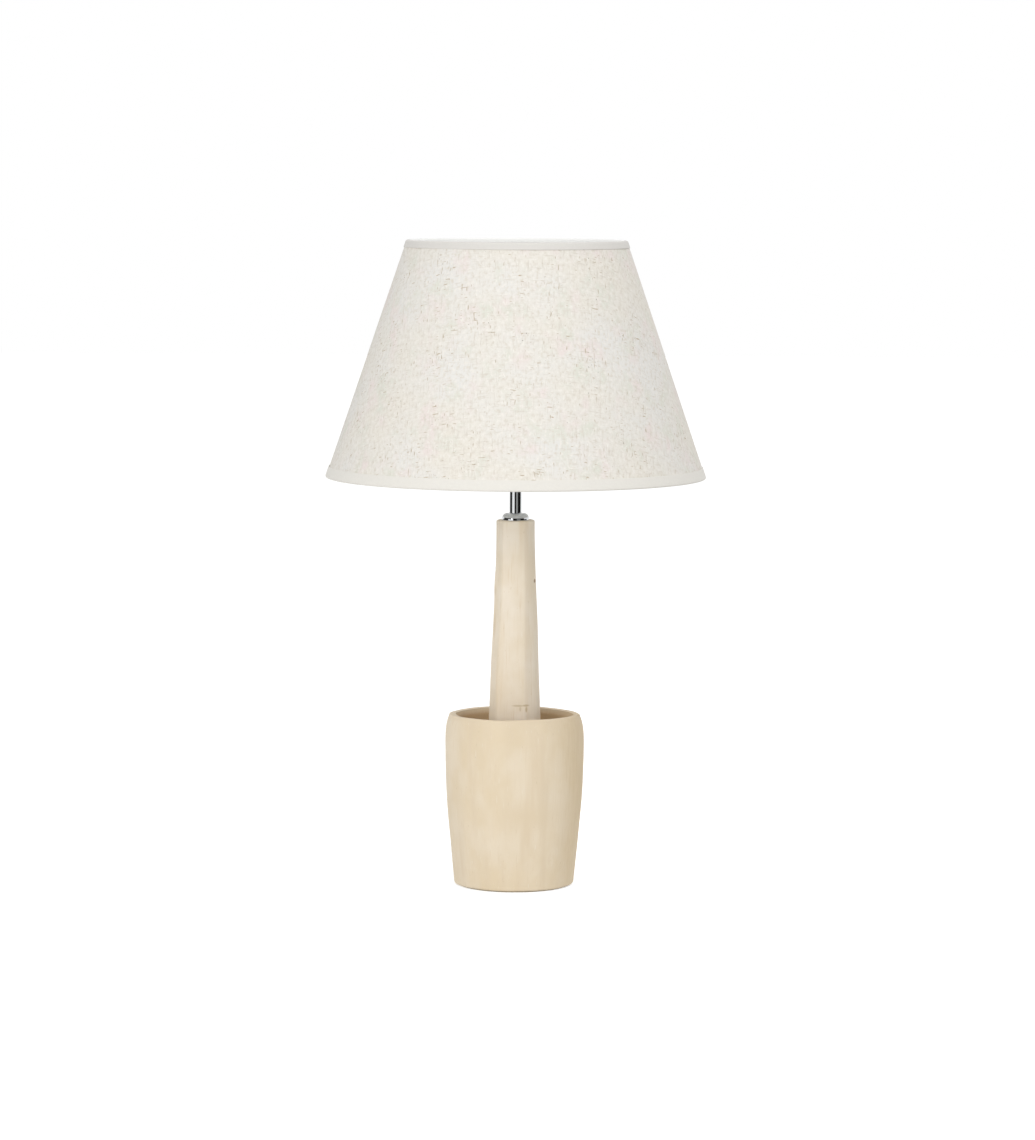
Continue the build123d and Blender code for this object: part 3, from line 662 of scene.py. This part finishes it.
# ---------------------------------------------------------------- felt and cord bushing
# A disc of beige pressed wool felt is glued under the cup. At the back a flanged bushing of clear
# soft plastic lines the cord's hole.
_, felt_high = extent("felt_pad")
felt_radius, felt_top = felt_high[0], felt_high[2]
felt_edge = 0.45
felt_profile = np.vstack(
    [
        between([(0.0, 0.0), (felt_radius - felt_edge, 0.0)], 3),
        arc((felt_radius - felt_edge, felt_edge), felt_edge, -60, 0, 5),
        arc((felt_radius - felt_edge, felt_top - felt_edge), felt_edge, 0, 60, 5),
        between([(felt_radius - felt_edge, felt_top), (0.0, felt_top)], 3),
    ]
)
felt = turned(felt_profile)
a = np.broadcast_to(azimuth, felt.shape[:2])
ragged_edge = 0.004 * (1 + np.sin(23 * a) * np.sin(9 * a + 1)) * (felt_profile[:, :1] > 40)
felt[..., :2] *= 1 - ragged_edge[..., None]
felt_pad = skin("felt_disc", felt, along=False)
wool = stuff("pressed wool felt", "BDAE93", 0.95, 2.4, 0.25, tone=0.2)
wool.node_tree.nodes["Principled BSDF"].inputs["Sheen Weight"].default_value = 0.3
paint(felt_pad, wool)
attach(felt_pad, "base")
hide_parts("felt_pad")
milky = stuff("moulded clear PVC, gone milky", "DDD3BE", 0.38, 4, 0.02, ior=1.53)
paint(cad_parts["cord_bushing"], milky)

# ---------------------------------------------------------------- weight, washers and nuts
# A cast iron disc is clamped up into the cup on the threaded tube by a zinc plated washer, a
# toothed lock washer and a hexagon nut; a nut of the same kind sits under the lampholder.
iron = stuff("cast iron, dipped black", "34353A", 0.62, 3.0, 0.18, metallic=0.35, tone=0.25)
paint(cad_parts["ballast_disc"], iron)
zinc = stuff("zinc plated steel", "C3C6CA", 0.30, 5.0, 0.02, metallic=1.0, tone=0.12)
for node in ("base_washer", "lock_washer", "base_nut", "holder_nut", "holder_grub_screw"):
    paint(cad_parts[node], zinc)

# ---------------------------------------------------------------- chrome tube and neck cap
# The stem is a drawn steel tube and the cap on the column a spun dome, both buffed and plated
# with bright chrome, which mirrors the room nearly sharp.
chrome = stuff("polished chrome plate", "D6D8DA", 0.05, 18.0, 0.003, metallic=1.0, tone=0.03)
for node in ("stem_tube", "neck_cap"):
    paint(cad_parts[node], chrome)

# ---------------------------------------------------------------- lampholder
# The screw lampholder is moulded in white heat-proof thermoplastic, with a glazed steatite block
# that carries the brass contact and screws, and a plated brass shell that takes the bulb.
moulded = stuff("moulded white thermoplastic", "E9E6DD", 0.34, 9.0, 0.012, ior=1.54, tone=0.02)
for node in ("holder_cap", "holder_skirt", "lower_shade_ring", "upper_shade_ring"):
    paint(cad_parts[node], moulded)
steatite = stuff("glazed steatite", "E6E0D2", 0.16, 6.0, 0.02, ior=1.56, tone=0.03)
steatite.node_tree.nodes["Principled BSDF"].inputs["Coat Weight"].default_value = 0.6
paint(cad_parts["contact_block"], steatite)
brass = stuff("stamped brass", "CFAE62", 0.32, 3.0, 0.01, metallic=1.0, tone=0.12)
for node in ("terminal_screws", "centre_contact"):
    paint(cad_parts[node], brass)
nickelled = stuff("nickel plated brass", "C9C5BC", 0.26, 6.0, 0.01, metallic=1.0, tone=0.08)
paint(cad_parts["screw_shell"], nickelled)

# ---------------------------------------------------------------- linen cover of the shade
# Natural slub linen is bonded to a white laminate, rolled into a cone and lapped at the back.
# The cloth is cut from one flat ring segment, so its threads run straight in that flat cut.
cover_low, cover_high = extent("shade_cover")
shade_low, shade_tall = cover_low[2], cover_high[2] - cover_low[2]
bottom_radius, top_radius = cover_high[0], 88.0
cover_thickness, liner_depth, wall_depth = 0.55, 0.75, 1.25
slope = (bottom_radius - top_radius) / shade_tall
slant = math.hypot(1, slope)
apex = bottom_radius / slope
lap = 11.0


def wall(height, depth):
    """Radius of the cone at a height over its lower edge, so far in from the linen's face."""
    return bottom_radius - slope * height - depth


tall = np.linspace(0, shade_tall, 41)
shell = np.vstack(
    [
        np.stack([tall, 0 * tall], -1),
        np.stack([tall[::-1], 0 * tall + cover_thickness], -1),
    ]
)
turn = np.linspace(-1, 1, 401)[None, :]
height, depth = shell[:, :1], shell[:, 1:]
half_lap = lap / 2 / wall(height, 0)
a = turn * (np.pi + half_lap)
# the end on the left lies over the other one, and both ends thin out to an edge
over = np.clip((a - (np.pi - 1.7 * half_lap)) / 0.02, 0, 1)
thin = np.clip((1 - np.abs(turn)) / 0.002, 0, 1)
wander = 0.05 * np.sin(5 * a + height / 40) + 0.04 * np.sin(8 * a - height / 31)
middle = cover_thickness / 2
r = wall(height, middle + (depth - middle) * thin) + 0.62 * over * over * (3 - 2 * over) + wander
cloth = np.stack([r * np.sin(a), -r * np.cos(a), shade_low + height + 0 * a], -1)
cover = skin("linen_cover", cloth, around=False)
# each corner's place in the flat cut: its slant distance from the cone's tip, at the angle round
# the axis times the sine of the cone's half angle
spots = np.zeros(len(cover.data.vertices) * 3, np.float32)
cover.data.vertices.foreach_get("co", spots)
loops = np.zeros(len(cover.data.loops), np.int32)
cover.data.loops.foreach_get("vertex_index", loops)
x, y, z = spots.reshape(-1, 3)[loops].T.astype(float)
bearing = np.arctan2(x, -y).reshape(-1, 4)
bearing = np.where(bearing - bearing[:, :1] > np.pi, bearing - 2 * np.pi, bearing)
bearing = np.where(bearing - bearing[:, :1] < -np.pi, bearing + 2 * np.pi, bearing)
from_tip = (apex - (z * 1000 - shade_low)) * slant
flat_angle = bearing.ravel() * slope / slant
flat = np.stack([from_tip * np.sin(flat_angle), -from_tip * np.cos(flat_angle)], -1) / 1000
cover.data.uv_layers.new(name="flat_cut").data.foreach_set("uv", flat.astype(np.float32).ravel())

linen = bpy.data.materials.new("woven slub linen, natural")
linen.use_nodes = True
tree = linen.node_tree
shader = tree.nodes["Principled BSDF"]
cut = add(tree, "ShaderNodeUVMap", uv_map="flat_cut").outputs[0]


def threads(across, along, detail, seed, weft=False):
    """Noise drawn out along the warp, or along the weft, by sizes in millimetres."""
    a, b = (along, across) if weft else (across, along)
    stretch = add(
        tree,
        "ShaderNodeMapping",
        {"Vector": cut, "Location": (seed, seed * 0.7, 0), "Scale": (1000 / a, 1000 / b, 1)},
    )
    return add(
        tree,
        "ShaderNodeTexNoise",
        {"Vector": stretch.outputs[0], "Scale": 1.0, "Detail": detail, "Roughness": 0.6},
        noise_dimensions="2D",
    ).outputs["Fac"]


# The real threads are less than a millimetre apart, finer than the picture shows, so they are
# drawn as uneven bundles 1.6 mm wide. Slubs are thicker bits of yarn, and flecks are bits of
# straw, which come in clusters.
colour = blend(tree, threads(75, 60, 2, 2.0), 0.25, 0.75, linear("E5E3DF"), linear("E6E1D7"))
colour = blend(tree, threads(24, 30, 2, 6.3), 0.50, 0.80, colour, linear("E8DDD9"))
colour = blend(tree, threads(22, 24, 2, 8.9), 0.50, 0.80, colour, linear("DEDED3"))
mottle = threads(3.0, 3.6, 3, 27.0)
colour = blend(tree, mottle, 0.50, 0.76, colour, linear("DCD6CB"))
colour = blend(tree, mottle, 0.48, 0.26, colour, linear("ECE8E1"))
warp = threads(1.6, 12, 3, 1.0)
weft = threads(1.6, 10, 3, 4.0, weft=True)
colour = blend(tree, warp, 0.56, 0.86, colour, linear("D3CCC1"))
colour = blend(tree, weft, 0.56, 0.86, colour, linear("D4CDC2"))
colour = blend(tree, threads(1.4, 5, 2, 11.0), 0.68, 0.84, colour, linear("F2EFE9"))
cluster = threads(24, 30, 2, 31.0)
for across, along, seed, weft_way, edge, code in (
    (1.3, 8.0, 14.0, False, 0.90, "BBAC96"),
    (1.3, 7.6, 17.0, True, 0.90, "BBAA93"),
    (1.4, 3.0, 21.0, False, 0.985, "786959"),
    (1.4, 3.0, 24.0, True, 0.985, "786959"),
):
    straw = add(
        tree,
        "ShaderNodeMath",
        {0: cluster, 1: 0.3, 2: threads(across, along, 1, seed, weft_way)},
        operation="MULTIPLY_ADD",
    )
    colour = blend(tree, straw.outputs[0], edge, edge + 0.08, colour, linear(code))
tree.links.new(colour, shader.inputs["Base Color"])
weave = add(tree, "ShaderNodeMath", {0: warp, 1: weft}, operation="ADD")
bump = add(
    tree,
    "ShaderNodeBump",
    {"Height": weave.outputs[0], "Strength": 0.4, "Distance": 0.0002},
)
tree.links.new(bump.outputs[0], shader.inputs["Normal"])
shader.inputs["Roughness"].default_value = 0.92
shader.inputs["IOR"].default_value = 1.45
shader.inputs["Sheen Weight"].default_value = 0.1
shader.inputs["Sheen Roughness"].default_value = 0.5
paint(cover, linen)
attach(cover, "shade")
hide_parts("shade_cover")

# ---------------------------------------------------------------- white liner of the shade
# A sheet of matt white laminate, rolled with the linen, stiffens the shade and spreads the light.
# Its face lies 0.2 mm behind the cloth's back, which is the room of the glue.
sheet = np.vstack(
    [
        np.stack([wall(tall, liner_depth), shade_low + tall], -1),
        np.stack([wall(tall, wall_depth), shade_low + tall], -1)[::-1],
    ]
)
liner = skin("white_liner", turned(sheet))
laminate = stuff("matt white laminate", "FBFBF9", 0.6, 12.0, 0.02, ior=1.5, tone=0.01)
paint(liner, laminate)
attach(liner, "shade")
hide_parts("shade_liner")

# ---------------------------------------------------------------- rolled hems
# A strip of finer linen is glued over each edge of the shade: down the outside, round the wire
# ring and up behind it, so that each edge shows as a smooth rounded band. Behind the ring the
# strip is drawn bright white: painted light for the lit inside of the shade.
strip = 0.6
lap_rise, lap_reach = 0.55, 7.5
ring_wire_radius, ring_set_in = 1.5, 1.7


def rolled(corners):
    """Cuts the corners of a line four times: each span gives way to the points at a quarter and
    at three quarters of it, so that the line runs into one smooth curve."""
    line = np.array(corners, float)
    for _ in range(4):
        first, second = line[:-1], line[1:]
        cut_line = np.stack([0.75 * first + 0.25 * second, 0.25 * first + 0.75 * second], 1)
        line = np.vstack([line[:1], cut_line.reshape(-1, 2), line[-1:]])
    return line


def band(line, thickness):
    """Gives a line of (radius, height) a thickness: half of it to each side along the normal,
    less towards the two ends, so that they close."""
    way = np.gradient(line, axis=0)
    way /= np.linalg.norm(way, axis=1, keepdims=True)
    side = np.stack([-way[:, 1], way[:, 0]], -1)
    run = np.linspace(0, 1, len(line))
    half = thickness / 2 * np.sqrt(np.clip(1 - np.abs(2 * run - 1) ** 14, 0, 1))[:, None]
    return np.vstack([line - side * half, (line + side * half)[::-1]])


# the strip's back is drawn bright white: painted light inside the shade
hem_back_painted_light = stuff("hem back, painted light", "FBFBF9", 0.9, 2.2, 0.08, tone=0.01)
for name, node, edge, up, leg, code in (
    ("lower_hem", "bottom_hem", 0.0, 1, 8.0, "E5E2DB"),
    # the upper strip is drawn darker than the lower: painted shade under the top edge
    ("upper_hem", "top_hem", shade_tall, -1, 4.9, "D9D6D1"),
):
    hem_outside = stuff("fine linen strip, " + name, code, 0.9, 2.2, 0.08, tone=0.04)
    hem_outside.node_tree.nodes["Principled BSDF"].inputs["Sheen Weight"].default_value = 0.2
    ring_radius = wall(edge + up * ring_wire_radius, wall_depth) - ring_set_in * slant
    fold = edge - up * 0.5
    # the strip's path, as radius and height: from the outside round the edge to the back
    corners = [
        (wall(edge + up * leg, -0.34), edge + up * leg),
        (wall(edge + up * 2.2, -0.36), edge + up * 2.2),
        (wall(fold, -0.3), fold),
        (wall(edge, 2.4), fold),
        (ring_radius - 2.0, fold),
        (ring_radius - 2.0, edge + up * 2.7),
    ]
    line = rolled(corners)
    section = band(line if up < 0 else line[::-1], strip)
    grid = turned(np.stack([section[:, 0], shade_low + section[:, 1]], -1))
    a = np.broadcast_to(azimuth, grid.shape[:2])
    from_back = (np.abs(a) - np.pi) * section[:, :1]
    lapped = lap_rise * np.exp(-((from_back / lap_reach) ** 4))
    outside = section[:, :1] > wall(section[:, 1:], 0)
    wrinkle = 0.05 * np.sin(11 * a) + 0.04 * np.sin(17 * a + 1)
    grow = 1 + outside * (lapped + wrinkle) / section[:, :1]
    grid[..., :2] *= grow[..., None]
    hem = skin(name, grid)
    hem.data.materials.append(hem_outside)
    hem.data.materials.append(hem_back_painted_light)
    centres = np.zeros(len(hem.data.polygons) * 3, np.float32)
    hem.data.polygons.foreach_get("center", centres)
    x, y, z = centres.reshape(-1, 3).T * 1000
    # the faces behind the ring take the bright white back: painted light
    white_side = np.hypot(x, y) < wall(z - shade_low, 2.0)
    hem.data.polygons.foreach_set("material_index", white_side.astype(np.int32))
    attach(hem, "shade")
    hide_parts(node)

# ---------------------------------------------------------------- wire frame of the shade
# Two steel rings hold the edges, and three arms run from the fitter ring down to the lower one;
# all are welded and powder coated white.
coated = stuff("white powder coat on steel", "ECEBE6", 0.42, 2.2, 0.03, ior=1.5, tone=0.02)
for node in ("top_ring", "bottom_ring", "fitter_ring", "spider_arms"):
    paint(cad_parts[node], coated)

# ---------------------------------------------------------------- bulb
# A frosted globe bulb: the cap is rolled from nickel plated brass with a round thread, cemented
# to the glass, and insulated from its lead contact by black glass.
cap_low, cap_high = extent("bulb_cap")
cap_low, cap_high, crest_radius = cap_low[2], cap_high[2], cap_high[0]
pitch, thread_depth, cap_wall, cap_mouth_radius = 3.629, 0.95, 0.5, 10.2
root_radius = crest_radius - thread_depth
thread_low, thread_high = cap_low + 3.1, cap_high - 5.1
cap_profile = np.vstack(
    [
        between([(0.0, cap_low), (cap_mouth_radius, cap_low)], 2),
        between([(cap_mouth_radius + 0.4, cap_low + 0.5), (root_radius, thread_low - 0.1)], 0.8),
        np.stack([np.full(70, root_radius), np.linspace(thread_low, thread_high, 70)], -1),
        between([(crest_radius, thread_high + 1.3), (crest_radius, cap_high)], 1),
        between([(crest_radius - cap_wall, cap_high), (crest_radius - cap_wall, cap_high - 4)], 1),
        between(
            [(root_radius - cap_wall, thread_high), (root_radius - cap_wall, thread_low)], 2
        ),
        between(
            [(cap_mouth_radius - cap_wall, cap_low + cap_wall), (0.0, cap_low + cap_wall)], 2
        ),
    ]
)
thread = turned(cap_profile, azimuth[::2])
z = thread[..., 2]
a = np.broadcast_to(azimuth[::2], z.shape)
# the ridge follows the height less the pitch times the share of a turn, and fades at both ends
wave = 0.5 - 0.5 * np.cos(2 * np.pi * ((z - thread_low) / pitch - a / 2 / np.pi))
fade = np.clip((z - thread_low) / 2.2, 0, 1) * np.clip((thread_high - z) / 2.2, 0, 1)
ridge = thread_depth * wave * fade * (np.abs(cap_profile[:, :1] - root_radius) < 0.01)
grow = 1 + ridge / np.maximum(cap_profile[:, :1], 1)
thread[..., :2] *= grow[..., None]
bulb_cap = skin("threaded_bulb_cap", thread, along=False)
paint(bulb_cap, nickelled)
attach(bulb_cap, "bulb")
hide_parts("bulb_cap")
solder = stuff("tinned solder", "A9A9AC", 0.42, 2.0, 0.05, metallic=1.0, tone=0.15)
paint(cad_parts["bulb_contact"], solder)
black_glass = stuff("black moulded glass", "0E0E10", 0.15, 3.0, 0.02, ior=1.52, tone=0.1)
paint(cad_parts["bulb_insulator"], black_glass)

frosted = stuff("glass, frosted inside", "F6F5F1", 0.45, 14.0, 0.01, ior=1.5, tone=0.01)
frosted.node_tree.nodes["Principled BSDF"].inputs["Transmission Weight"].default_value = 0.4
paint(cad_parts["bulb_glass"], frosted)
clear = stuff("clear glass", "FAFCFC", 0.04, 14.0, 0.002, ior=1.52, tone=0.005)
clear.node_tree.nodes["Principled BSDF"].inputs["Transmission Weight"].default_value = 1.0
paint(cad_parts["bulb_stem"], clear)
nickel_wire = stuff("drawn nickel wire", "B9B7B0", 0.25, 3.0, 0.01, metallic=1.0, tone=0.06)
paint(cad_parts["lead_wires"], nickel_wire)

# The filament is fine tungsten wire wound into a coil, which hangs in an arch between the leads.
filament_low, _ = extent("filament")
arch_low, arch_rise, half_span = filament_low[2] + 0.6, 5.0, 12.0
turns, steps, coil_radius, wire_radius = 44, 16, 0.42, 0.14
along = np.linspace(0, 1, turns * steps + 1)
bow = (along - 0.5) * 2
spine = np.stack([half_span * bow, 0 * bow, arch_low + arch_rise * (1 - bow**2)], -1)
wind = 2 * np.pi * turns * along
coil = spine + coil_radius * np.stack([0 * wind, np.cos(wind), np.sin(wind)], -1)
forward = np.gradient(coil, axis=0)
forward /= np.linalg.norm(forward, axis=1, keepdims=True)
out = np.cross(forward, np.array([1.0, 0.0, 0.0]))
out /= np.linalg.norm(out, axis=1, keepdims=True)
third = np.cross(forward, out)
ring = np.linspace(0, 2 * np.pi, 6, endpoint=False)[None, :, None]
wire = coil[:, None] + wire_radius * (
    np.cos(ring) * out[:, None] + np.sin(ring) * third[:, None]
)
ends = [coil[:1, None] + 0 * wire[:1], coil[-1:, None] + 0 * wire[:1]]
filament = skin("coiled_filament", np.concatenate([ends[0], wire, ends[1]]), along=False)
paint(filament, stuff("drawn tungsten", "77777B", 0.4, 2.0, 0.01, metallic=1.0, tone=0.1))
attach(filament, "bulb")
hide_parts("filament")
